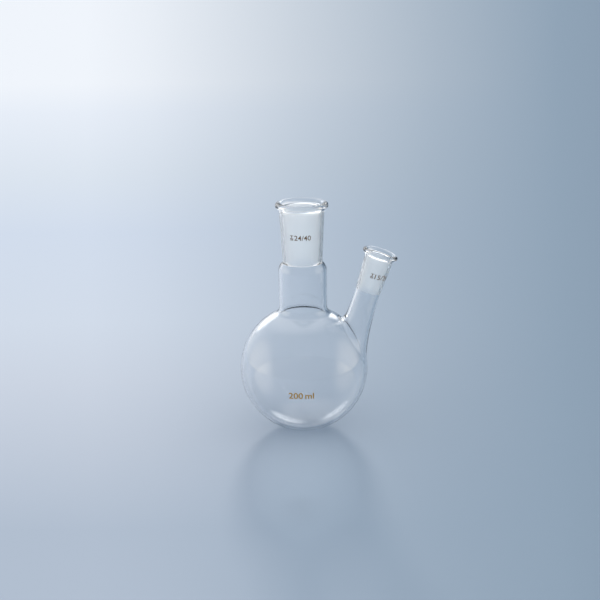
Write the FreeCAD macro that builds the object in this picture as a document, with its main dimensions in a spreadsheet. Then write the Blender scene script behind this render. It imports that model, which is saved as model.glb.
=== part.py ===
"""Two neck round bottom flask, blown from one piece of borosilicate glass, in millimetres.

Frame: +Z runs up the axis of the centre neck, the origin is the lowest point of the round bulb, and
the side neck leans towards +X in the plane Y = 0.

Form: the outer skin is one turned profile (bulb, flared root, neck, shoulder, ground socket, lip),
a second turned profile about the leaning axis (side socket and its lip), and a flare that carries the
side tube into the bulb. The hollow is the same three forms drawn one wall further in and cut away.
"""
import FreeCAD, Part
import math
import os
import Sketcher

os.makedirs("parts", exist_ok=True)
document = FreeCAD.newDocument("two_neck_flask")

FULL_TURN = 360.0
HALF_TURN = 180.0
MILLILITRE = 1000.0

# Driving dimensions, in millimetres and degrees
DRIVING = {
    # Bulb and the centre neck that rises from it
    "bulb_diameter": 80.0,
    "bulb_wall": 1.7,
    "neck_root_radius": 36.0,
    "neck_straight_length": 7.0,
    "neck_wall": 1.7,
    # Centre socket: a ground cone of 1 in 10, on a shoulder and under a rolled lip
    "shoulder_step": 2.65,
    "shoulder_length": 5.2,
    "ground_length": 35.6,
    "ground_bore": 24.0,
    "ground_taper": 10.0,
    "ground_wall": 2.1,
    "lip_diameter": 32.7,
    "lip_round": 2.0,
    "lip_length": 6.7,
    "crest_flat": 0.3,
    # Side neck: its lean, where its axis enters the bulb, and its smaller socket of the same cone
    "side_tilt": 18.0,
    "side_entry_angle": 53.3,
    "side_tube_length": 28.0,
    "side_straight_length": 2.0,
    "side_ground_length": 23.3,
    "side_ground_bore": 15.0,
    "side_ground_wall": 1.6,
    "side_lip_diameter": 22.2,
    "side_lip_round": 1.5,
    "side_lip_length": 5.0,
    "clear_above": 1.0,
    # Flare at the root of the side neck: its edge nearest the centre neck, then its far edge
    "flare_near_angle": 33.0,
    "flare_near_lead": 12.0,
    "flare_near_toe": 4.0,
    "flare_near_bite": 50.0,
    "flare_near_sink": 2.5,
    "flare_far_angle": 85.0,
    "flare_far_lead": 16.0,
    "flare_far_toe": 13.0,
    "flare_far_bite": 9.0,
    "flare_far_sink": 0.8,
    "weld_round": 5.0,
    "weld_round_inside": 3.0,
}

# Sizes that follow from the driving dimensions
DERIVED = {
    "bulb_radius": "bulb_diameter / 2",
    "bulb_inside": "bulb_radius - bulb_wall",
    "ground_foot_bore": "ground_bore - ground_length / ground_taper",
    "joint_foot_reach": "ground_foot_bore / 2 + ground_wall",
    "neck_reach": "joint_foot_reach + shoulder_step",
    "neck_inside": "neck_reach - neck_wall",
    # Root of the centre neck: an arc tangent to the bulb and to the neck
    "root_centre_reach": "neck_reach + neck_root_radius",
    "root_span": "bulb_radius + neck_root_radius",
    "root_top": "bulb_radius + sqrt(root_span ^ 2 - root_centre_reach ^ 2)",
    "root_low_reach": "root_centre_reach * bulb_radius / root_span",
    "root_low": "bulb_radius + (root_top - bulb_radius) * bulb_radius / root_span",
    "root_inside_radius": "neck_root_radius + neck_wall",
    "root_inside_span": "bulb_inside + root_inside_radius",
    "root_inside_top": "bulb_radius + sqrt(root_inside_span ^ 2 - root_centre_reach ^ 2)",
    "root_inside_low_reach": "root_centre_reach * bulb_inside / root_inside_span",
    "root_inside_low": "bulb_radius + (root_inside_top - bulb_radius) * bulb_inside / root_inside_span",
    "ground_foot_reach": "ground_foot_bore / 2",
    "ground_reach": "ground_bore / 2",
    # Shoulder: an arc that leaves the neck upright and ends at the foot of the socket
    "neck_top": "root_top + neck_straight_length",
    "joint_foot": "neck_top + shoulder_length",
    "shoulder_radius": "(shoulder_step ^ 2 + shoulder_length ^ 2) / (2 * shoulder_step)",
    "shoulder_inside_step": "neck_inside - ground_foot_bore / 2",
    "shoulder_inside_radius":
        "(shoulder_inside_step ^ 2 + shoulder_length ^ 2) / (2 * shoulder_inside_step)",
    # Rolled lip: a round bead that runs into the socket wall through a hollow arc
    "lip_centre_reach": "lip_diameter / 2 - lip_round",
    "mouth_round": "lip_centre_reach - ground_bore / 2 - crest_flat",
    "mouth_reach": "ground_reach + mouth_round",
    "ground_top": "joint_foot + ground_length",
    "mouth_top": "ground_top + mouth_round",
    "above_mouth": "mouth_top + clear_above",
    "lip_centre": "mouth_top - lip_round",
    "lip_foot": "mouth_top - lip_length",
    "lip_foot_reach": "joint_foot_reach + (lip_foot - joint_foot) / (2 * ground_taper)",
    "lip_inset": "lip_foot_reach - lip_centre_reach",
    "lip_drop": "lip_centre - lip_foot",
    "lip_hollow":
        "(lip_inset ^ 2 + lip_drop ^ 2 - lip_round ^ 2) / (2 * (lip_round - lip_inset))",
    "lip_meet_share": "lip_round / (lip_round + lip_hollow)",
    "lip_meet_reach":
        "lip_centre_reach + (lip_foot_reach + lip_hollow - lip_centre_reach) * lip_meet_share",
    "lip_meet": "lip_centre - lip_drop * lip_meet_share",
    # Side neck, in its own frame: heights run up its axis from where that axis enters the bulb
    "side_foot_bore": "side_ground_bore - side_ground_length / ground_taper",
    "side_tube_inside": "side_foot_bore / 2",
    "side_tube_reach": "side_tube_inside + side_ground_wall",
    "side_start": "side_tube_length - side_straight_length",
    "side_lip_centre_reach": "side_lip_diameter / 2 - side_lip_round",
    "side_mouth_round": "side_lip_centre_reach - side_ground_bore / 2 - crest_flat",
    "side_ground_reach": "side_ground_bore / 2",
    "side_mouth_reach": "side_ground_reach + side_mouth_round",
    "side_ground_top": "side_tube_length + side_ground_length",
    "side_mouth_top": "side_ground_top + side_mouth_round",
    "side_above_mouth": "side_mouth_top + clear_above",
    "side_lip_centre": "side_mouth_top - side_lip_round",
    "side_lip_foot": "side_mouth_top - side_lip_length",
    "side_lip_foot_reach":
        "side_tube_reach + (side_lip_foot - side_tube_length) / (2 * ground_taper)",
    "side_lip_inset": "side_lip_foot_reach - side_lip_centre_reach",
    "side_lip_drop": "side_lip_centre - side_lip_foot",
    "side_lip_hollow":
        "(side_lip_inset ^ 2 + side_lip_drop ^ 2 - side_lip_round ^ 2)"
        " / (2 * (side_lip_round - side_lip_inset))",
    "side_lip_meet_share": "side_lip_round / (side_lip_round + side_lip_hollow)",
    "side_lip_meet_reach":
        "side_lip_centre_reach"
        " + (side_lip_foot_reach + side_lip_hollow - side_lip_centre_reach) * side_lip_meet_share",
    "side_lip_meet": "side_lip_centre - side_lip_drop * side_lip_meet_share",
    "side_entry_x": "bulb_radius * sin(side_entry_angle * 1deg)",
    "side_entry_z": "bulb_radius * (1 + cos(side_entry_angle * 1deg))",
    "side_lean_x": "sin(side_tilt * 1deg)",
    "side_lean_z": "cos(side_tilt * 1deg)",
    "flare_start_x": "side_entry_x + side_start * side_lean_x",
    "flare_start_z": "side_entry_z + side_start * side_lean_z",
}

sheet = document.addObject("Spreadsheet::Sheet", "Sizes")


def fill_sheet():
    """Write every size into column B beside its name, and give the cell that name."""
    rows = [(name, str(value)) for name, value in DRIVING.items()]
    rows += [(name, "=" + rule) for name, rule in DERIVED.items()]
    rows += [(name, "=" + rule) for name, rule in flare_rules()]
    for row, (name, content) in enumerate(rows, start=1):
        sheet.set(f"A{row}", name)
        sheet.set(f"B{row}", content)
        sheet.setAlias(f"B{row}", name)
    document.recompute()


# The flare of the side neck: circles strung between a near and a far edge curve in the plane Y = 0
STATIONS = 8
SAME = 1e-4
SKINS = {"outer": ("side_tube_reach", "bulb_radius"), "inner": ("side_tube_inside", "bulb_inside")}


def bend(share, start, lead, toe, end):
    """Rule of one coordinate of a cubic curve through four control values."""
    rest = 1 - share
    weights = (rest**3, 3 * rest**2 * share, 3 * rest * share**2, share**3)
    controls = (start, lead, toe, end)
    return " + ".join(f"{weight:.6f} * ({value})" for weight, value in zip(weights, controls))


def flare_rules():
    """Sheet rules of the circles: each spans from the near edge curve to the far edge curve."""
    rules = []
    for skin, (tube, ball) in SKINS.items():
        for edge, side in (("near", -1), ("far", 1)):
            tag = f"{skin}_{edge}"
            angle = f"flare_{edge}_angle * 1deg"
            bite = f"({angle} + {side} * flare_{edge}_bite * 1deg)"
            rules += [
                (f"{tag}_top_x", f"flare_start_x + {side} * {tube} * side_lean_z"),
                (f"{tag}_top_z", f"flare_start_z - {side} * {tube} * side_lean_x"),
                (f"{tag}_lead_x", f"{tag}_top_x - flare_{edge}_lead * side_lean_x"),
                (f"{tag}_lead_z", f"{tag}_top_z - flare_{edge}_lead * side_lean_z"),
                (f"{tag}_end_x", f"({ball} - flare_{edge}_sink) * sin({angle})"),
                (f"{tag}_end_z", f"bulb_radius + ({ball} - flare_{edge}_sink) * cos({angle})"),
                (f"{tag}_toe_x", f"{tag}_end_x - {side} * flare_{edge}_toe * cos({bite})"),
                (f"{tag}_toe_z", f"{tag}_end_z + {side} * flare_{edge}_toe * sin({bite})"),
            ]
        for station in range(STATIONS):
            share = station / (STATIONS - 1)
            spot = f"{skin}_ring_{station}"
            for axis in "xz":
                for edge in ("near", "far"):
                    controls = [f"{skin}_{edge}_{part}_{axis}" for part in ("top", "lead", "toe", "end")]
                    rules.append((f"{spot}_{edge}_{axis}", bend(share, *controls)))
                rules.append((f"{spot}_{axis}", f"({spot}_near_{axis} + {spot}_far_{axis}) / 2"))
            across = f"({spot}_far_x - {spot}_near_x)"
            down = f"({spot}_near_z - {spot}_far_z)"
            rules.append((f"{spot}_reach", f"sqrt({across} ^ 2 + {down} ^ 2) / 2"))
            rules.append((f"{spot}_lean", f"atan2({down}; {across}) / 1deg"))
    return rules


def size(name):
    """A size as the sheet works it out."""
    return float(sheet.get(name))


def arc_between(start, end, radius, turn):
    """Arc of the given radius from start to end; turn is +1 when it runs anticlockwise."""
    chord = end - start
    offset = math.sqrt(max(radius**2 - (chord.Length / 2) ** 2, 0.0))
    centre = (start + end) / 2 + FreeCAD.Vector(-chord.y, chord.x, 0).normalize() * offset * turn
    circle = Part.Circle(centre, FreeCAD.Vector(0, 0, 1), radius)
    first, last = (start, end) if turn > 0 else (end, start)
    return Part.ArcOfCircle(circle, circle.parameter(first), circle.parameter(last))


def new_sketch(body, name, plane):
    """Empty sketch on one of the body's own origin planes."""
    sketch = body.newObject("Sketcher::SketchObject", name)
    origin_plane = next(part for part in body.Origin.OriginFeatures if part.Role == plane)
    sketch.AttachmentSupport = [(origin_plane, "")]
    sketch.MapMode = "FlatFace"
    return sketch


def draw_profile(sketch, corners):
    """Closed profile beside the V axis. A corner is (reach, height, edge): sizes by name, None for
    zero, and the edge that leaves it is None for a straight one or (radius name, turn)."""
    points = [FreeCAD.Vector(size(r) if r else 0, size(z) if z else 0, 0) for r, z, _ in corners]
    ends = []
    for index, (_, _, edge) in enumerate(corners):
        start, end = points[index], points[(index + 1) % len(points)]
        if edge is None:
            sketch.addGeometry(Part.LineSegment(start, end), False)
            ends.append((1, 2))
        else:
            radius, turn = edge
            sketch.addGeometry(arc_between(start, end, size(radius), turn), False)
            ends.append((1, 2) if turn > 0 else (2, 1))
    for index in range(len(corners)):
        after = (index + 1) % len(corners)
        sketch.addConstraint(Sketcher.Constraint("Coincident", index, ends[index][1], after, ends[after][0]))
    for index, (reach, height, edge) in enumerate(corners):
        at = (index, ends[index][0])
        if reach is None and height is None:
            sketch.addConstraint(Sketcher.Constraint("Coincident", *at, -1, 1))
            bound = []
        elif reach is None:
            sketch.addConstraint(Sketcher.Constraint("PointOnObject", *at, -2))
            bound = [("DistanceY", height)]
        else:
            bound = [("DistanceX", reach), ("DistanceY", height)]
        for kind, name in bound:
            number = sketch.addConstraint(Sketcher.Constraint(kind, -1, 1, *at, size(name)))
            sketch.setExpression(f"Constraints[{number}]", f"Sizes.{name}")
        if edge is not None:
            number = sketch.addConstraint(Sketcher.Constraint("Radius", index, size(edge[0])))
            sketch.setExpression(f"Constraints[{number}]", f"Sizes.{edge[0]}")


def face_away(sketch):
    """Turn a sketch of the XZ plane half round, so that its full turn has its seam opposite the side neck."""
    sketch.AttachmentOffset = FreeCAD.Placement(
        FreeCAD.Vector(), FreeCAD.Rotation(FreeCAD.Vector(0, 1, 0), HALF_TURN))


def lean_with_side_neck(sketch):
    """Set a sketch of the XZ plane up in the side neck's own frame."""
    turn = FreeCAD.Rotation(FreeCAD.Vector(0, 0, 1), -size("side_tilt"))
    place = FreeCAD.Vector(size("side_entry_x"), size("side_entry_z"), 0)
    sketch.AttachmentOffset = FreeCAD.Placement(place, turn)
    sketch.setExpression(".AttachmentOffset.Base.x", "Sizes.side_entry_x")
    sketch.setExpression(".AttachmentOffset.Base.y", "Sizes.side_entry_z")
    sketch.setExpression(".AttachmentOffset.Rotation.Angle", "-Sizes.side_tilt")


def turn_profile(body, kind, name, sketch):
    """Full turn of a profile about its own V axis."""
    feature = body.newObject(kind, name)
    feature.Profile = sketch
    feature.ReferenceAxis = (sketch, ["V_Axis"])
    feature.Angle = FULL_TURN
    document.recompute()
    return feature


def ring_sketch(body, skin, station):
    """Circle of the flare at one station."""
    spot = f"{skin}_ring_{station}"
    sketch = new_sketch(body, spot, "XY_Plane")
    turn = FreeCAD.Rotation(FreeCAD.Vector(0, 1, 0), size(f"{spot}_lean"))
    sketch.AttachmentOffset = FreeCAD.Placement(
        FreeCAD.Vector(size(f"{spot}_x"), 0, size(f"{spot}_z")), turn)
    sketch.setExpression(".AttachmentOffset.Base.x", f"Sizes.{spot}_x")
    sketch.setExpression(".AttachmentOffset.Base.z", f"Sizes.{spot}_z")
    sketch.setExpression(".AttachmentOffset.Rotation.Angle", f"Sizes.{spot}_lean")
    sketch.addGeometry(Part.Circle(FreeCAD.Vector(), FreeCAD.Vector(0, 0, 1), size(f"{spot}_reach")), False)
    sketch.addConstraint(Sketcher.Constraint("Coincident", 0, 3, -1, 1))
    number = sketch.addConstraint(Sketcher.Constraint("Radius", 0, size(f"{spot}_reach")))
    sketch.setExpression(f"Constraints[{number}]", f"Sizes.{spot}_reach")
    return sketch


def flare(body, kind, name, skin):
    """Smooth skin through the circles of one flare."""
    rings = [ring_sketch(body, skin, station) for station in range(STATIONS)]
    document.recompute()
    feature = body.newObject(kind, name)
    feature.Profile = rings[0]
    feature.Sections = rings[1:]
    feature.Ruled = False
    document.recompute()
    return feature


def weld_edges(shape, ball, root):
    """Names of the edges where a flare meets the bulb or the root of the centre neck."""
    names = []
    radii = {Part.Sphere: ("Radius", size(ball)), Part.Toroid: ("MinorRadius", size(root))}
    for number, edge in enumerate(shape.Edges, start=1):
        surfaces = [face.Surface for face in shape.ancestorsOfType(edge, Part.Face)]
        flared = any(isinstance(surface, Part.BSplineSurface) for surface in surfaces)
        turned = False
        for surface in surfaces:
            if type(surface) in radii:
                measure, radius = radii[type(surface)]
                turned = turned or math.isclose(getattr(surface, measure), radius, abs_tol=SAME)
        if flared and turned:
            names.append(f"Edge{number}")
    return names


def round_weld(body, name, ball, root, radius):
    """Blend a flare into the bulb along the edge where the two skins cross."""
    solid = body.Tip
    blend = body.newObject("PartDesign::Fillet", name)
    blend.Base = (solid, weld_edges(solid.Shape, ball, root))
    blend.Radius = size(radius)
    blend.setExpression("Radius", f"Sizes.{radius}")
    document.recompute()


def build_flask():
    """The whole flask as one body: three outer forms, then the hollow cut from them."""
    body = document.addObject("PartDesign::Body", "flask")
    body.Label = "flask"

    outside = new_sketch(body, "centre_outside", "XZ_Plane")
    face_away(outside)
    draw_profile(outside, [
        (None, None, ("bulb_radius", 1)),
        ("root_low_reach", "root_low", ("neck_root_radius", -1)),
        ("neck_reach", "root_top", None),
        ("neck_reach", "neck_top", ("shoulder_radius", 1)),
        ("joint_foot_reach", "joint_foot", None),
        ("lip_foot_reach", "lip_foot", ("lip_hollow", -1)),
        ("lip_meet_reach", "lip_meet", ("lip_round", 1)),
        ("lip_centre_reach", "mouth_top", None),
        (None, "mouth_top", None),
    ])
    turn_profile(body, "PartDesign::Revolution", "centre_blank", outside)

    side_outside = new_sketch(body, "side_outside", "XZ_Plane")
    lean_with_side_neck(side_outside)
    draw_profile(side_outside, [
        (None, "side_start", None),
        ("side_tube_reach", "side_start", None),
        ("side_tube_reach", "side_tube_length", None),
        ("side_lip_foot_reach", "side_lip_foot", ("side_lip_hollow", -1)),
        ("side_lip_meet_reach", "side_lip_meet", ("side_lip_round", 1)),
        ("side_lip_centre_reach", "side_mouth_top", None),
        (None, "side_mouth_top", None),
    ])
    turn_profile(body, "PartDesign::Revolution", "side_blank", side_outside)
    flare(body, "PartDesign::AdditiveLoft", "side_root", "outer")
    round_weld(body, "weld_outside", "bulb_radius", "neck_root_radius", "weld_round")

    inside = new_sketch(body, "centre_inside", "XZ_Plane")
    face_away(inside)
    draw_profile(inside, [
        (None, "bulb_wall", ("bulb_inside", 1)),
        ("root_inside_low_reach", "root_inside_low", ("root_inside_radius", -1)),
        ("neck_inside", "root_inside_top", None),
        ("neck_inside", "neck_top", ("shoulder_inside_radius", 1)),
        ("ground_foot_reach", "joint_foot", None),
        ("ground_reach", "ground_top", ("mouth_round", -1)),
        ("mouth_reach", "mouth_top", None),
        ("mouth_reach", "above_mouth", None),
        (None, "above_mouth", None),
    ])
    turn_profile(body, "PartDesign::Groove", "centre_hollow", inside)

    side_inside = new_sketch(body, "side_inside", "XZ_Plane")
    lean_with_side_neck(side_inside)
    draw_profile(side_inside, [
        (None, "side_start", None),
        ("side_tube_inside", "side_start", None),
        ("side_tube_inside", "side_tube_length", None),
        ("side_ground_reach", "side_ground_top", ("side_mouth_round", -1)),
        ("side_mouth_reach", "side_mouth_top", None),
        ("side_mouth_reach", "side_above_mouth", None),
        (None, "side_above_mouth", None),
    ])
    turn_profile(body, "PartDesign::Groove", "side_hollow", side_inside)
    flare(body, "PartDesign::SubtractiveLoft", "side_root_hollow", "inner")
    round_weld(body, "weld_inside", "bulb_inside", "root_inside_radius", "weld_round_inside")
    return body


def check_model():
    """Stop on any object that failed to work out, and on a flask that is not one sound solid."""
    for item in document.Objects:
        if "Invalid" in item.State or "Error" in item.State:
            raise RuntimeError(f"{item.Name} failed: {item.State}")
    shape = flask.Shape
    if shape.isNull() or not shape.isValid() or len(shape.Solids) != 1:
        raise RuntimeError("flask is not one valid solid")


fill_sheet()
flask = build_flask()
document.recompute()
check_model()
flask.Shape.exportStep("parts/flask.step")
print(f"flask: {flask.Shape.Volume / MILLILITRE:.1f} ml of glass, {flask.Shape.BoundBox}")
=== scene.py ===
"""Two neck round bottom flask of clear borosilicate glass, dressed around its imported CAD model.

The whole flask is one blown piece, so its skin is one closed sheet: down the outside of the centre
neck, over the bulb, up the outside of the side neck, over its lip and back the same way inside.
"""

import bpy
import numpy as np
from mathutils import Euler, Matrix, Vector


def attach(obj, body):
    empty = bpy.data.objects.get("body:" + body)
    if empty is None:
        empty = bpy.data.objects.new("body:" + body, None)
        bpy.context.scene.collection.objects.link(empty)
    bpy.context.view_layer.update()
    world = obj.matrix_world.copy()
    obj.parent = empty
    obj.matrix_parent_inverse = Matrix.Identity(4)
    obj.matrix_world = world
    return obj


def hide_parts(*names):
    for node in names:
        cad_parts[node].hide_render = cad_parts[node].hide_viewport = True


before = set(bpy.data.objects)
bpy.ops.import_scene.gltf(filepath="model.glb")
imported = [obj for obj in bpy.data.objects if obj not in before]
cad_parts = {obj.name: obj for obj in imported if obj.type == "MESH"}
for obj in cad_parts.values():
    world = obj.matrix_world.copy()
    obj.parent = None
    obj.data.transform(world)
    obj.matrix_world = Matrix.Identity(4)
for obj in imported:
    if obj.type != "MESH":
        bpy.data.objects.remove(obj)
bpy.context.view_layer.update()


# Camera
# It stands a little above the flask and looks down on it, a few pixels off centre and rolled by a
# degree, as the photograph was taken. Sizes are in millimetres, and MM turns them to metres.
MM = 0.001
FRAME_PIXELS = 600
SENSOR = 36.0
FOCAL_PIXELS = 1284.0
CAMERA_DISTANCE = 800.0
CAMERA_RISE = 16.5
CAMERA_ROLL = -0.85
AIM_HEIGHT = 80.0
AIM_PIXEL = (303.1, 306.3)
CLIP = (0.01, 100.0)

rise = np.radians(CAMERA_RISE)
camera_data = bpy.data.cameras.new("camera")
camera_data.sensor_width = SENSOR
camera_data.lens = FOCAL_PIXELS / FRAME_PIXELS * SENSOR
camera_data.shift_x = (FRAME_PIXELS / 2 - AIM_PIXEL[0]) / FRAME_PIXELS
camera_data.shift_y = (AIM_PIXEL[1] - FRAME_PIXELS / 2) / FRAME_PIXELS
camera_data.clip_start, camera_data.clip_end = CLIP
camera = bpy.data.objects.new("camera", camera_data)
camera.location = (
    0.0,
    -CAMERA_DISTANCE * np.cos(rise) * MM,
    (AIM_HEIGHT + CAMERA_DISTANCE * np.sin(rise)) * MM,
)
pitch = Euler((np.pi / 2 - rise, 0.0, 0.0)).to_matrix()
roll = Euler((0.0, 0.0, np.radians(CAMERA_ROLL))).to_matrix()
camera.rotation_euler = (pitch @ roll).to_euler()
bpy.context.scene.collection.objects.link(camera)
bpy.context.scene.camera = camera
bpy.context.scene.view_settings.view_transform = "Standard"


# Glass skin
# Hand-blown borosilicate: a round bulb, a centre neck drawn from it and a side neck sealed on, both
# ending in a ground socket with a fire-polished lip. The wall is 1.7 mm all over the bulb. Pairs of
# sizes are a reach out from a neck's axis and a height along it.
BODY = "root"
BULB = 40.0
BULB_INSIDE = 38.3
ROOT = 5.0
ROOT_INSIDE = 6.7
ROOT_CENTRE = (19.97, 80.326)
NECK_TOP = 103.374
NECK = 14.97
NECK_INSIDE = 13.27
JOINT_FOOT = 108.574
JOINT_FOOT_REACH = 12.32
BORE_FOOT = 10.22
LIP = (14.35, 144.224)
LIP_ROUND = 2.0
LIP_FOOT = (13.868, 139.524)
MOUTH = (14.05, 144.174)
MOUTH_ROUND = 2.05
SIDE_LEAN = 18.0
SIDE_ENTRY = 53.3
SIDE_TUBE = 7.935
SIDE_TUBE_INSIDE = 6.335
SIDE_START = 26.0
SIDE_FOOT = 28.0
SIDE_LIP = (9.6, 51.6)
SIDE_LIP_ROUND = 1.5
SIDE_LIP_FOOT = (8.94, 48.1)
SIDE_MOUTH = (9.3, 51.3)
SIDE_MOUTH_ROUND = 1.8

COLUMNS = 208
BULB_ROWS = 100
FLARE_ROWS = 34
BEAD_ROWS = 18
HOLLOW_ROWS = 8
MOUTH_ROWS = 12
BORE_ROWS = 22
SHOULDER_ROWS = 12
NECK_ROWS = 13
ROOT_ROWS = 10
SIDE_BORE_ROWS = 16
SIDE_TUBE_ROWS = 3
CROWDING = 0.72
TRIALS = 4001
HAIR = 1e-9
STEP = 1e-4
CENTRE_RING = 26.0
OUTER_FLARE = {"tilt": 59.5, "spread": 24.9, "lead": (9.5, 2.6, 3.9), "toe": (7.27, -4.07, 0.6)}
INNER_FLARE = {"tilt": 58.2, "spread": 23.6, "lead": (11.5, 4.2, 5.3), "toe": (6.64, -1.35, 0.2)}
SEAM_HEIGHT = 0.12
SEAM_WIDTH = 0.7

bulb_centre = np.array([0.0, 0.0, BULB])
up = np.array([0.0, 0.0, 1.0])
across = np.array([0.0, 1.0, 0.0])


def in_plane(degrees):
    """Unit vector of the plane Y = 0, that many degrees from +Z towards +X."""
    turn = np.radians(degrees)
    return np.array([np.sin(turn), 0.0, np.cos(turn)])


side_axis = in_plane(SIDE_LEAN)
side_base = bulb_centre + BULB * in_plane(SIDE_ENTRY)


def unit(vectors):
    """Vectors divided by their lengths."""
    return vectors / np.linalg.norm(vectors, axis=-1, keepdims=True)


def lattice(flare):
    """Directions from the bulb's centre, on rows from the centre neck's ring to the side neck's ring.

    Seen from the bottom of the ball on a flat map, both rings are circles, and the curves between
    them are the circles of f = exp(v + iu), laid out by w = (q f - p) / (f - 1), where p and q are
    the map points that every such circle keeps in the same proportion. A hair is added to u, because
    f = 1, the ball's lowest point, has no place on the map. Rows stand evenly along u = 0, the long
    way round under the ball, and columns crowd towards it, where they would stand far apart."""
    near = np.radians(flare["tilt"] - flare["spread"])
    far = np.radians(flare["tilt"] + flare["spread"])
    edge = np.tan(np.radians(CENTRE_RING) / 2)
    low, high = np.tan(near / 2), np.tan(far / 2)
    middle, half = (low + high) / 2, (high - low) / 2
    total = (edge**2 + middle**2 - half**2) / middle
    gap = np.sqrt(total**2 - 4 * edge**2)
    p, q = (total - gap) / 2, (total + gap) / 2

    def directions(f):
        w = (q * f - p) / (f - 1)
        square = 1 + abs(w) ** 2
        return np.stack([2 * w.real, 2 * w.imag, 2 - square], axis=-1) / square[..., None]

    ends = [np.log(abs((place - p) / (place - q))) for place in (edge, low)]
    trial = np.linspace(*ends, TRIALS)
    under = directions(np.exp(trial + 1j * HAIR))
    run = np.concatenate([[0.0], np.cumsum(np.linalg.norm(np.diff(under, axis=0), axis=1))])
    v = np.interp(np.linspace(0, run[-1], BULB_ROWS), run, trial)
    turn = np.linspace(0, 2 * np.pi, COLUMNS, endpoint=False)
    u = turn - CROWDING * np.sin(turn) + HAIR
    return directions(np.exp(v[:, None] + 1j * u[None]))


def on_skin(directions, ball, root):
    """Points where rays from the bulb's centre leave the skin: on the ball, or above the ball's
    tangent ring on the hollow arc of the centre neck's root."""
    sides = np.array([ROOT_CENTRE[0], ROOT_CENTRE[1] - BULB])
    sine = np.hypot(directions[..., 0], directions[..., 1])
    along = sides[0] * sine + sides[1] * directions[..., 2]
    square = np.sum(sides**2)
    hollow = along - np.sqrt(np.maximum(along**2 - square + root**2, 0))
    above = directions[..., 2] > sides[1] / np.sqrt(square)
    return bulb_centre + np.where(above, hollow, ball)[..., None] * directions


def flare_rows(flare, ring, ball, root, tube):
    """Cubic curves from the side neck's ring on the bulb up to its tube, with each column's cosine and
    sine round the ring. A curve leaves the bulb square to the ring and meets the tube along its axis.
    Its two pulls, toe and lead, are quadratics of the cosine."""
    heading = in_plane(flare["tilt"])
    spread = np.radians(flare["spread"])
    cosine = ring @ np.cross(across, -heading) / np.sin(spread)
    sine = ring[:, 1] / np.sin(spread)
    top = side_base + SIDE_START * side_axis
    top = top + tube * (cosine[:, None] * np.cross(across, -side_axis) + sine[:, None] * across)
    inward = unit(heading - ring * np.cos(spread))
    foot = on_skin(ring, ball, root)
    ahead = on_skin(unit(ring + STEP * inward), ball, root)
    behind = on_skin(unit(ring - STEP * inward), ball, root)
    toe = np.polynomial.polynomial.polyval(cosine, flare["toe"])[:, None] * unit(ahead - behind)
    lead = np.polynomial.polynomial.polyval(cosine, flare["lead"])[:, None] * side_axis
    s = np.linspace(0, 1, FLARE_ROWS)[:, None, None]
    rest = 1 - s
    curve = rest**3 * foot + 3 * rest**2 * s * (foot + toe)
    return curve + 3 * rest * s**2 * (top - lead) + s**3 * top, (cosine, sine)


def arc(centre, radius, start, end, count):
    """Points (reach, height) of an arc, by angles in degrees from the outward direction."""
    turn = np.radians(np.linspace(start, end, count))
    return np.stack([centre[0] + radius * np.cos(turn), centre[1] + radius * np.sin(turn)], axis=1)


def line(start, end, count):
    """Points evenly along a straight stretch."""
    return np.linspace(start, end, count)


def socket_profile(lip, lip_round, lip_foot, foot, wall_rows):
    """Outside of a socket from its crest down: a round bead, a hollow arc under it and the wall."""
    inset, drop = lip_foot[0] - lip[0], lip[1] - lip_foot[1]
    hollow = (inset**2 + drop**2 - lip_round**2) / (2 * (lip_round - inset))
    hollow_centre = (lip_foot[0] + hollow, lip_foot[1])
    turn = np.degrees(np.arctan2(hollow_centre[1] - lip[1], hollow_centre[0] - lip[0]))
    return [
        arc(lip, lip_round, 90, turn, BEAD_ROWS),
        arc(hollow_centre, hollow, turn + 180, 180, HOLLOW_ROWS)[1:],
        line(lip_foot, foot, wall_rows)[1:],
    ]


def mouth_profile(mouth, mouth_round, bore_foot, wall_rows):
    """Inside of a socket from its crest down: the rounded mouth, then the ground bore."""
    return [
        arc(mouth, mouth_round, 90, 180, MOUTH_ROWS),
        line((mouth[0] - mouth_round, mouth[1]), bore_foot, wall_rows)[1:],
    ]


def shoulder(foot_reach, neck_reach):
    """Arc from a socket's foot down to the neck, which it meets upright."""
    step, drop = foot_reach - neck_reach, JOINT_FOOT - NECK_TOP
    radius = (step**2 + drop**2) / (2 * -step)
    centre = (neck_reach - radius, NECK_TOP)
    start = np.degrees(np.arctan2(drop, foot_reach - centre[0]))
    return arc(centre, radius, start, 0, SHOULDER_ROWS)


def root_arc(radius):
    """Hollow arc from the neck down to the centre ring, without its two ends."""
    ring = on_skin(in_plane(CENTRE_RING)[None], BULB, radius)[0]
    end = np.degrees(np.arctan2(ring[2] - ROOT_CENTRE[1], ring[0] - ROOT_CENTRE[0]))
    return arc(ROOT_CENTRE, radius, 180, 360 + end, ROOT_ROWS)[1:-1]


def round_centre(profile, ring):
    """A profile carried round the centre neck's axis, one column per direction of the ring."""
    heading = unit(ring[:, :2])
    rows = profile[:, 0][:, None, None] * np.append(heading, 0 * heading[:, :1], axis=1)
    return rows + profile[:, 1][:, None, None] * up


def round_side(profile, turns):
    """A profile carried round the side neck's axis, one column per turn of the ring."""
    spoke = turns[0][:, None] * np.cross(across, -side_axis) + turns[1][:, None] * across
    return side_base + profile[:, 0][:, None, None] * spoke + profile[:, 1][:, None, None] * side_axis


def raise_seam(rows, foot):
    """Lift the skin in a low bead along the line where the side neck was sealed to the bulb: the
    lift falls off as exp(-(distance / width) squared)."""
    distance = np.linalg.norm(rows - foot, axis=-1)
    lift = SEAM_HEIGHT * np.exp(-((distance / SEAM_WIDTH) ** 2))
    return rows + lift[..., None] * unit(foot - bulb_centre)


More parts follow.
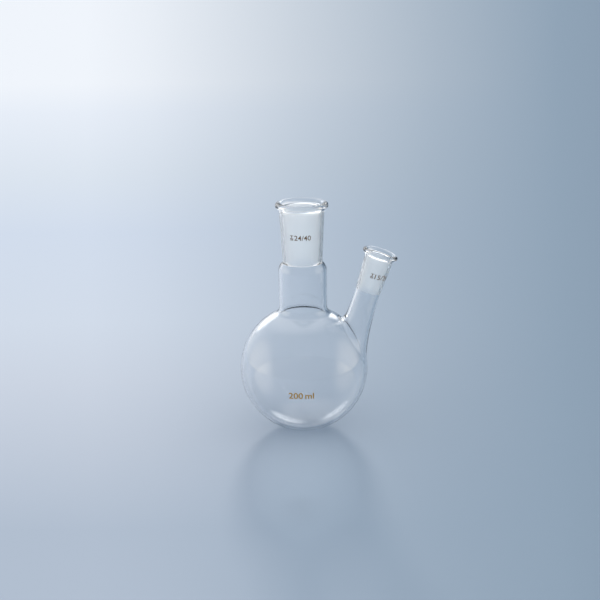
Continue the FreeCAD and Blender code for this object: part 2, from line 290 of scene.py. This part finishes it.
outer_lattice = lattice(OUTER_FLARE)
inner_lattice = lattice(INNER_FLARE)
outer_bulb = on_skin(outer_lattice, BULB, ROOT)
inner_bulb = on_skin(inner_lattice, BULB_INSIDE, ROOT_INSIDE)
outer_flare, outer_turns = flare_rows(OUTER_FLARE, outer_lattice[-1], BULB, ROOT, SIDE_TUBE)
inner_flare, inner_turns = flare_rows(
    INNER_FLARE, inner_lattice[-1], BULB_INSIDE, ROOT_INSIDE, SIDE_TUBE_INSIDE
)
seam_line = outer_bulb[-1]
outer_bulb = raise_seam(outer_bulb, seam_line)
outer_flare = raise_seam(outer_flare, seam_line)

centre_outside = np.concatenate(
    socket_profile(LIP, LIP_ROUND, LIP_FOOT, (JOINT_FOOT_REACH, JOINT_FOOT), BORE_ROWS)
    + [shoulder(JOINT_FOOT_REACH, NECK)[1:]]
    + [line((NECK, NECK_TOP), (NECK, ROOT_CENTRE[1]), NECK_ROWS)[1:]]
    + [root_arc(ROOT)]
)
centre_inside = np.concatenate(
    mouth_profile(MOUTH, MOUTH_ROUND, (BORE_FOOT, JOINT_FOOT), BORE_ROWS)
    + [shoulder(BORE_FOOT, NECK_INSIDE)[1:]]
    + [line((NECK_INSIDE, NECK_TOP), (NECK_INSIDE, ROOT_CENTRE[1]), NECK_ROWS)[1:]]
    + [root_arc(ROOT_INSIDE)]
)
side_outside = np.concatenate(
    socket_profile(SIDE_LIP, SIDE_LIP_ROUND, SIDE_LIP_FOOT, (SIDE_TUBE, SIDE_FOOT), SIDE_BORE_ROWS)
    + [line((SIDE_TUBE, SIDE_FOOT), (SIDE_TUBE, SIDE_START), SIDE_TUBE_ROWS)[1:-1]]
)
side_inside = np.concatenate(
    mouth_profile(SIDE_MOUTH, SIDE_MOUTH_ROUND, (SIDE_TUBE_INSIDE, SIDE_FOOT), SIDE_BORE_ROWS)
    + [line((SIDE_TUBE_INSIDE, SIDE_FOOT), (SIDE_TUBE_INSIDE, SIDE_START), SIDE_TUBE_ROWS)[1:-1]]
)
stretches = {
    "centre neck outside": round_centre(centre_outside, outer_lattice[0]),
    "bulb outside": outer_bulb,
    "flare outside": outer_flare[1:],
    "side neck outside": round_side(side_outside, outer_turns)[::-1],
    "side neck inside": round_side(side_inside, inner_turns),
    "flare inside": inner_flare[:0:-1],
    "bulb inside": inner_bulb[::-1],
    "centre neck inside": round_centre(centre_inside, inner_lattice[0])[::-1],
}
sheet = np.concatenate(list(stretches.values()))
stretch_of_row = np.repeat(list(stretches), [len(rows) for rows in stretches.values()])


def build_mesh(name, points, faces):
    """Object of the given points in millimetres and faces, smooth all over."""
    mesh = bpy.data.meshes.new(name)
    mesh.from_pydata(points.reshape(-1, 3) * MM, [], faces)
    mesh.shade_smooth()
    piece = bpy.data.objects.new(name, mesh)
    bpy.context.scene.collection.objects.link(piece)
    return piece


def sheet_faces(rows, columns):
    """Four-sided faces of a sheet that closes on itself both ways, wound to face out of the glass."""
    row, column = np.meshgrid(np.arange(rows), np.arange(columns), indexing="ij")
    after, beside = (row + 1) % rows, (column + 1) % columns
    corners = [row * columns + column, after * columns + column]
    corners += [after * columns + beside, row * columns + beside]
    return np.stack(corners, axis=-1).reshape(-1, 4)


glass = build_mesh("flask_glass", sheet, sheet_faces(len(sheet), COLUMNS).tolist())


def linear(hex_colour):
    """Linear colour of an sRGB hex value: c / 12.92 when dark, else ((c + 0.055) / 1.055) ** 2.4."""
    parts = np.array([int(hex_colour[i : i + 2], 16) for i in (1, 3, 5)]) / 255
    curve = np.where(parts <= 0.04045, parts / 12.92, ((parts + 0.055) / 1.055) ** 2.4)
    return (*curve.tolist(), 1.0)


def add_node(owner, kind, settings=None, stops=(), **links):
    """Node of one kind in a material or world: settings are its properties, stops a ramp's places
    and colours, links its sockets by number (n0) or name (with _ for a space), each a value or
    another node's output."""
    node = owner.node_tree.nodes.new(kind)
    for key, value in (settings or {}).items():
        setattr(node, key, value)
    for number, (place, colour) in enumerate(stops):
        ramp = node.color_ramp.elements
        stop = ramp[0] if number == 0 else ramp[1] if number == 1 else ramp.new(place)
        stop.position, stop.color = place, colour
    for key, value in links.items():
        numbered = key[0] == "n" and key[1:].isdigit()
        socket = node.inputs[int(key[1:])] if numbered else node.inputs[key.replace("_", " ")]
        if isinstance(value, bpy.types.NodeSocket):
            owner.node_tree.links.new(value, socket)
        else:
            socket.default_value = value
    return node


def mix_colours(owner, share, first, second):
    """Colour that goes from the first to the second as the share goes from 0 to 1."""
    mix = add_node(owner, "ShaderNodeMix", {"data_type": "RGBA"}, n0=share, n6=first, n7=second)
    return mix.outputs[2]


def new_material(name):
    """Empty node material and its output node."""
    material = bpy.data.materials.new(name)
    material.use_nodes = True
    material.node_tree.nodes.clear()
    return material, add_node(material, "ShaderNodeOutputMaterial")


def let_lamps_through(material, output, glass_shader, tint, rim):
    """Glass casts only a faint shadow: lamps pass it as through a pane, tinted most where it turns
    edge on to the light."""
    path = add_node(material, "ShaderNodeLightPath")
    edge = add_node(material, "ShaderNodeLayerWeight", Blend=0.4)
    colour = mix_colours(material, edge.outputs["Facing"], tint, rim)
    pane = add_node(material, "ShaderNodeBsdfTransparent", Color=colour)
    mix = add_node(
        material, "ShaderNodeMixShader",
        n0=path.outputs["Is Shadow Ray"], n1=glass_shader.outputs[0], n2=pane.outputs[0],
    )
    material.node_tree.links.new(mix.outputs[0], output.inputs["Surface"])


# Borosilicate glass, fire polished: clear and colourless, with a trace of waviness from the flame
GLASS_IOR = 1.473
clear_glass, clear_output = new_material("borosilicate_glass")
waves = add_node(
    clear_glass, "ShaderNodeTexNoise",
    Vector=add_node(clear_glass, "ShaderNodeTexCoord").outputs["Object"], Scale=60.0, Detail=1.0,
)
ripple = add_node(clear_glass, "ShaderNodeBump", Strength=0.05, Distance=0.001, Height=waves.outputs[0])
clear_shader = add_node(
    clear_glass, "ShaderNodeBsdfPrincipled",
    Base_Color=linear("#FBFCFD"), Roughness=0.0, IOR=GLASS_IOR, Transmission_Weight=1.0,
    Normal=ripple.outputs[0],
)
let_lamps_through(clear_glass, clear_output, clear_shader, linear("#F9FBFC"), linear("#E2E6EA"))

# Ground glass: both bores are cut with fine grit from the foot to just under the mouth, which leaves a
# milky frost that still lets light through
MILK = 0.1
CENTRE_GROUND = (JOINT_FOOT - 0.01, LIP_FOOT[1] + 2.4)
SIDE_GROUND = (SIDE_FOOT - 0.01, SIDE_LIP_FOOT[1] + 1.9)
ground_glass, ground_output = new_material("ground_glass")
grit = add_node(
    ground_glass, "ShaderNodeTexNoise",
    Vector=add_node(ground_glass, "ShaderNodeTexCoord").outputs["Object"], Scale=2500.0, Detail=2.0,
)
tooth = add_node(ground_glass, "ShaderNodeBump", Strength=0.15, Distance=0.0001, Height=grit.outputs[0])
ground_pane = add_node(
    ground_glass, "ShaderNodeBsdfPrincipled",
    Base_Color=linear("#FFFFFF"), Roughness=0.28, IOR=GLASS_IOR, Transmission_Weight=0.92,
    Normal=tooth.outputs[0],
)
milk = add_node(ground_glass, "ShaderNodeBsdfTranslucent", Color=linear("#F7FAF6"))
ground_shader = add_node(
    ground_glass, "ShaderNodeMixShader", n0=MILK, n1=ground_pane.outputs[0], n2=milk.outputs[0]
)
let_lamps_through(ground_glass, ground_output, ground_shader, linear("#F6F8FA"), linear("#E0E4E8"))

glass.data.materials.append(clear_glass)
glass.data.materials.append(ground_glass)


def ground_rows(stretch, heights, zone):
    """True for the rows of one stretch of the sheet whose height lies in the ground zone."""
    return (stretch_of_row == stretch) & (heights > zone[0]) & (heights < zone[1])


heights = sheet[..., 2].mean(axis=1)
side_heights = ((sheet - side_base) @ side_axis).mean(axis=1)
ground = ground_rows("centre neck inside", heights, CENTRE_GROUND)
ground |= ground_rows("side neck inside", side_heights, SIDE_GROUND)
glass.data.polygons.foreach_set("material_index", np.repeat(ground, COLUMNS).astype(np.int32))

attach(glass, BODY)
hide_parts("flask")


# Capacity print
# Amber enamel, screened on the front of the bulb and fired on, so it lies a hair proud of the glass.
PRINT_LIFT = 0.04
PRINT_THICKNESS = 0.05
CAPACITY = {"text": "200 ml", "width": 15.3, "height": 4.0, "turn": -2.7, "latitude": -6.8}
CAPACITY_WEIGHT = 0.015
WORD_GAP = 0.6


def lettering(name, text, width, height, weight):
    """Flat mesh of a line of text in millimetres, its box centred on the origin: across, up and
    thickness in x, y and z. The weight swells or thins its strokes."""
    curve = bpy.data.curves.new(name, "FONT")
    curve.body = text
    curve.extrude = 1.0
    curve.offset = weight
    curve.space_word = WORD_GAP
    curve.resolution_u = 4
    holder = bpy.data.objects.new(name, curve)
    bpy.context.scene.collection.objects.link(holder)
    mesh = bpy.data.meshes.new_from_object(holder.evaluated_get(bpy.context.evaluated_depsgraph_get()))
    bpy.data.objects.remove(holder)
    flat = np.empty(len(mesh.vertices) * 3)
    mesh.vertices.foreach_get("co", flat)
    flat = flat.reshape(-1, 3)
    low, high = flat.min(axis=0), flat.max(axis=0)
    flat = (flat - (low + high) / 2) / (high - low) * (width, height, PRINT_THICKNESS)
    return mesh, flat


def print_on(name, mesh, points, paint):
    """Makes a piece of lettering whose points, in millimetres, have been carried onto the glass."""
    mesh.vertices.foreach_set("co", (points * MM).ravel())
    mesh.update()
    piece = bpy.data.objects.new(name, mesh)
    bpy.context.scene.collection.objects.link(piece)
    piece.data.materials.append(paint)
    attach(piece, BODY)


def on_bulb(flat, turn, latitude):
    """Wraps flat points round the bulb: across becomes longitude, up becomes latitude."""
    tilt = np.radians(latitude) + flat[:, 1] / BULB
    spin = np.radians(turn) + flat[:, 0] / (BULB * np.cos(np.radians(latitude)))
    out = np.stack([np.cos(tilt) * np.sin(spin), -np.cos(tilt) * np.cos(spin), np.sin(tilt)], axis=1)
    return bulb_centre + (BULB + PRINT_LIFT + flat[:, 2:]) * out


def enamel(name, hex_colour):
    """Glass enamel, fired on: opaque and even in colour, with the satin gloss of melted powder."""
    material, output = new_material(name)
    shader = add_node(
        material, "ShaderNodeBsdfPrincipled", Base_Color=linear(hex_colour), Roughness=0.45, IOR=1.5
    )
    material.node_tree.links.new(shader.outputs[0], output.inputs["Surface"])
    return material


capacity_mesh, capacity_flat = lettering(
    "print_capacity", CAPACITY["text"], CAPACITY["width"], CAPACITY["height"], CAPACITY_WEIGHT
)
capacity_points = on_bulb(capacity_flat, CAPACITY["turn"], CAPACITY["latitude"])
print_on("print_capacity", capacity_mesh, capacity_points, enamel("amber_enamel", "#C4942E"))


# Joint prints
# Brown enamel on the front of both sockets gives their size: bore over ground length, led by the small
# T over S that marks a standard taper.
CENTRE_PRINT = {"text": "24/40", "width": 13.1, "height": 3.1, "turn": -4.8, "height_on_neck": 126.6}
SIDE_PRINT = {"text": "15/25", "width": 12.7, "height": 3.0, "turn": 25.0, "height_on_neck": 38.7}
JOINT_WEIGHT = 0.006
MARK_WEIGHT = 0.03
MARK_SHARE = 0.17
MARK_GAP = 0.05
MARK_HEIGHT = 0.46
MARK_RISE = 0.27


def joint_print(size):
    """Meshes and flat points of a joint's print: the T over S mark, a gap, then the numbers."""
    width, height = size["width"], size["height"]
    parts = []
    for letter, mark_rise in (("T", MARK_RISE), ("S", -MARK_RISE)):
        mesh, flat = lettering(letter, letter, width * MARK_SHARE, height * MARK_HEIGHT, MARK_WEIGHT)
        parts.append((mesh, flat + ((MARK_SHARE / 2 - 0.5) * width, mark_rise * height, 0.0)))
    number_share = 1 - MARK_SHARE - MARK_GAP
    mesh, flat = lettering(size["text"], size["text"], width * number_share, height, JOINT_WEIGHT)
    parts.append((mesh, flat + ((0.5 - number_share / 2) * width, 0.0, 0.0)))
    return parts


def on_socket(flat, turn, height, foot, lip_foot, origin, heading):
    """Wraps flat points round a tapered socket: across becomes the turn about its axis, up the height
    along it, and the reach follows the wall's taper."""
    taper = (lip_foot[0] - foot[0]) / (lip_foot[1] - foot[1])
    middle = foot[0] + (height - foot[1]) * taper
    along = height + flat[:, 1]
    reach = foot[0] + (along - foot[1]) * taper + PRINT_LIFT + flat[:, 2]
    spin = np.radians(turn) + flat[:, 0] / middle
    sideways = np.cross(across, heading)
    spoke = np.sin(spin)[:, None] * sideways - np.cos(spin)[:, None] * across
    return origin + reach[:, None] * spoke + along[:, None] * heading


brown_enamel = enamel("brown_enamel", "#7A5A34")
sockets = {
    "print_centre_joint": (CENTRE_PRINT, (JOINT_FOOT_REACH, JOINT_FOOT), LIP_FOOT, 0 * up, up),
    "print_side_joint": (SIDE_PRINT, (SIDE_TUBE, SIDE_FOOT), SIDE_LIP_FOOT, side_base, side_axis),
}
for socket_name, (size, foot, lip_foot, origin, heading) in sockets.items():
    for part, (mesh, flat) in zip(("t", "s", "number"), joint_print(size)):
        points = on_socket(flat, size["turn"], size["height_on_neck"], foot, lip_foot, origin, heading)
        print_on(f"{socket_name}_{part}", mesh, points, brown_enamel)


# Studio
# The flask stands on pale blue-grey paper that runs out of sight, inside a white tent whose panels show
# in the glass as soft patches. A lamp low behind it throws its shadow forwards. Lengths are in metres.
FLOOR_REACH = 8.0
FLOOR_SIDES = 96
FAN_POINT = -0.858
LEAST_DEPTH = 0.3
SIDEWAYS = (-0.6, 0.6)
NEARNESS = (0.35, 1.4)
# Painted light and shade on the paper: the share of the painted lit side across it, then the painted
# lit and dim tones
PAINTED_LIT_SHARE = [
    (0.0, 1.0), (0.367, 1.0), (0.405, 0.908), (0.442, 0.758), (0.5, 0.52),
    (0.551, 0.327), (0.585, 0.206), (0.6225, 0.101), (0.661, 0.0),
]
PAINTED_LIT_PAPER = [
    (0.01, "#F0F5FC"), (0.075, "#E7EEF8"), (0.21, "#DCE5F0"), (0.34, "#D2DDED"), (0.54, "#D2DCEA"),
    (0.67, "#CCD5E3"), (0.81, "#C2CCDB"), (1.0, "#B2BFD0"),
]
PAINTED_DIM_PAPER = [(0.66, "#91A4B7"), (0.85, "#74869A"), (1.0, "#5E7085")]
SIDE_END = (0.3, 0.8)
SIDE_SLOPE = (0.27, 0.42)
FRONT_END = (-0.35, -0.9)

floor_mesh = bpy.data.meshes.new("studio_floor")
floor_turn = np.linspace(0, 2 * np.pi, FLOOR_SIDES, endpoint=False)
floor_edge = np.stack([np.cos(floor_turn), np.sin(floor_turn), 0 * floor_turn], axis=1) * FLOOR_REACH
floor_mesh.from_pydata(floor_edge, [], [list(range(len(floor_edge)))])
floor = bpy.data.objects.new("studio_floor", floor_mesh)
bpy.context.scene.collection.objects.link(floor)


def reckon(owner, operation, first, second=0.0):
    """Result of a sum on two values, each a number or another node's output."""
    return add_node(owner, "ShaderNodeMath", {"operation": operation}, n0=first, n1=second).outputs[0]


def soft_rise(owner, value, start, end):
    """Smooth rise from 0 to 1 as a value goes from start to end."""
    return add_node(
        owner, "ShaderNodeMapRange", {"interpolation_type": "SMOOTHSTEP"},
        Value=value, From_Min=start, From_Max=end,
    ).outputs[0]


def paper_painted_light(owner, sideways, nearness):
    """Colour of the paper, with painted light and shade: a painted lit left and a painted dim right,
    mixed by how far to the side a spot is for its distance. The painted lit side pales with distance,
    one over which is the nearness."""
    spread = add_node(
        owner, "ShaderNodeMapRange", Value=sideways, From_Min=SIDEWAYS[0], From_Max=SIDEWAYS[1]
    )
    shares = [(place, (share, share, share, 1.0)) for place, share in PAINTED_LIT_SHARE]
    share = add_node(owner, "ShaderNodeValToRGB", stops=shares, n0=spread.outputs[0])
    depth = add_node(
        owner, "ShaderNodeMapRange", Value=nearness, From_Min=NEARNESS[0], From_Max=NEARNESS[1]
    )
    tones = [(place, linear(tone)) for place, tone in PAINTED_LIT_PAPER]
    lit = add_node(owner, "ShaderNodeValToRGB", stops=tones, n0=depth.outputs[0])
    tones = [(place, linear(tone)) for place, tone in PAINTED_DIM_PAPER]
    dim = add_node(owner, "ShaderNodeValToRGB", stops=tones, n0=spread.outputs[0])
    return mix_colours(owner, share.outputs[0], dim.outputs[0], lit.outputs[0])


# Matte paper: no shine at all. Its colour is painted light and shade, from pale on the left to
# blue-grey on the right, in a fan whose point lies in front of the set
backdrop_paper, paper_output = new_material("backdrop_paper")
place = add_node(backdrop_paper, "ShaderNodeTexCoord").outputs["Object"]
east, north, _ = add_node(backdrop_paper, "ShaderNodeSeparateXYZ", n0=place).outputs
depth = reckon(backdrop_paper, "SUBTRACT", north, FAN_POINT)
depth = reckon(backdrop_paper, "MAXIMUM", depth, LEAST_DEPTH)
slope = reckon(backdrop_paper, "DIVIDE", east, depth)
paper = add_node(
    backdrop_paper, "ShaderNodeBsdfPrincipled",
    Base_Color=paper_painted_light(backdrop_paper, slope, reckon(backdrop_paper, "DIVIDE", 1.0, depth)),
    Roughness=0.9, Specular_IOR_Level=0.0,
)

# The paper ends softly beside and in front of the set, where the tent's panels reach below its level
beside = reckon(
    backdrop_paper, "MULTIPLY",
    soft_rise(backdrop_paper, reckon(backdrop_paper, "ABSOLUTE", east), *SIDE_END),
    soft_rise(backdrop_paper, reckon(backdrop_paper, "ABSOLUTE", slope), *SIDE_SLOPE),
)
gone = reckon(backdrop_paper, "MAXIMUM", beside, soft_rise(backdrop_paper, north, *FRONT_END))
nothing = add_node(backdrop_paper, "ShaderNodeBsdfTransparent")
sweep = add_node(
    backdrop_paper, "ShaderNodeMixShader", n0=gone, n1=paper.outputs[0], n2=nothing.outputs[0]
)
backdrop_paper.node_tree.links.new(sweep.outputs[0], paper_output.inputs["Surface"])
floor.data.materials.append(backdrop_paper)

# The tent's light falls evenly on the floor and the object. Seen straight or in the glass, the paper
# runs on behind, with the tent's panels round it. A panel has a direction, two angles from it between
# which it fades, a tone and a level
TENT_LIGHT = 0.6
LAMP_SHARE = 0.4
LAMP_HEADING = (0.0, 0.92, 0.39)
LAMP_ANGLE = 9.0
ROOM = "#7E8E9E"
ROOM_TURN = (0.7, 0.1)
PANELS = {
    "back_left": {"centre": (-0.4, 0.86, 0.3), "edges": (6.0, 14.0), "tone": "#FFFFFF", "level": 2.8},
    "back": {"centre": (0.22, 0.88, 0.42), "edges": (7.0, 17.0), "tone": "#FFFFFF", "level": 3.0},
    "left": {"centre": (-0.98, 0.05, 0.12), "edges": (4.0, 36.0), "tone": "#FFF8EC", "level": 1.4},
    "right": {"centre": (0.98, 0.05, 0.12), "edges": (4.0, 36.0), "tone": "#FFF8EC", "level": 1.3},
    "top": {"centre": (-0.05, 0.45, 0.9), "edges": (20.0, 42.0), "tone": "#FFFFFF", "level": 1.2},
}

studio = bpy.data.worlds.new("studio")
bpy.context.scene.world = studio
studio.use_nodes = True
studio.node_tree.nodes.clear()
studio_output = add_node(studio, "ShaderNodeOutputWorld")
sight = add_node(studio, "ShaderNodeTexCoord").outputs["Generated"]
sideways, forward, _ = add_node(studio, "ShaderNodeSeparateXYZ", n0=sight).outputs
slope = reckon(studio, "DIVIDE", sideways, reckon(studio, "MAXIMUM", forward, LEAST_DEPTH))
# The world shows the paper's painted light and shade as well, beyond the floor and in the glass
tent_colour = paper_painted_light(studio, slope, NEARNESS[0])
turned = add_node(
    studio, "ShaderNodeMapRange", Value=forward, From_Min=ROOM_TURN[0], From_Max=ROOM_TURN[1]
)
tent_colour = mix_colours(studio, turned.outputs[0], tent_colour, linear(ROOM))
for panel in PANELS.values():
    centre = unit(np.array(panel["centre"])).tolist()
    nearest, farthest = np.cos(np.radians(panel["edges"]))
    facing = add_node(
        studio, "ShaderNodeVectorMath", {"operation": "DOT_PRODUCT"}, n0=sight, n1=centre
    ).outputs["Value"]
    glow = [panel["level"] * part for part in linear(panel["tone"])[:3]] + [1.0]
    tent_colour = mix_colours(studio, soft_rise(studio, facing, farthest, nearest), tent_colour, glow)

tent_seen = add_node(studio, "ShaderNodeBackground", Color=tent_colour)
tent_light = add_node(studio, "ShaderNodeBackground", Color=linear("#FFFFFF"), Strength=TENT_LIGHT)
path = add_node(studio, "ShaderNodeLightPath")
shown = path.outputs["Is Camera Ray"]
for ray in ("Is Glossy Ray", "Is Transmission Ray"):
    shown = reckon(studio, "MAXIMUM", shown, path.outputs[ray])
tent = add_node(
    studio, "ShaderNodeMixShader", n0=shown, n1=tent_light.outputs[0], n2=tent_seen.outputs[0]
)
studio.node_tree.links.new(tent.outputs[0], studio_output.inputs["Surface"])

lamp_heading = unit(np.array(LAMP_HEADING))
lamp_data = bpy.data.lights.new("back_lamp", "SUN")
lamp_data.angle = np.radians(LAMP_ANGLE)
lamp_data.energy = LAMP_SHARE * np.pi / lamp_heading[2]
lamp = bpy.data.objects.new("back_lamp", lamp_data)
lamp.visible_glossy = False
lamp.visible_transmission = False
lamp.rotation_euler = Vector((-lamp_heading).tolist()).to_track_quat("-Z", "Y").to_euler()
bpy.context.scene.collection.objects.link(lamp)
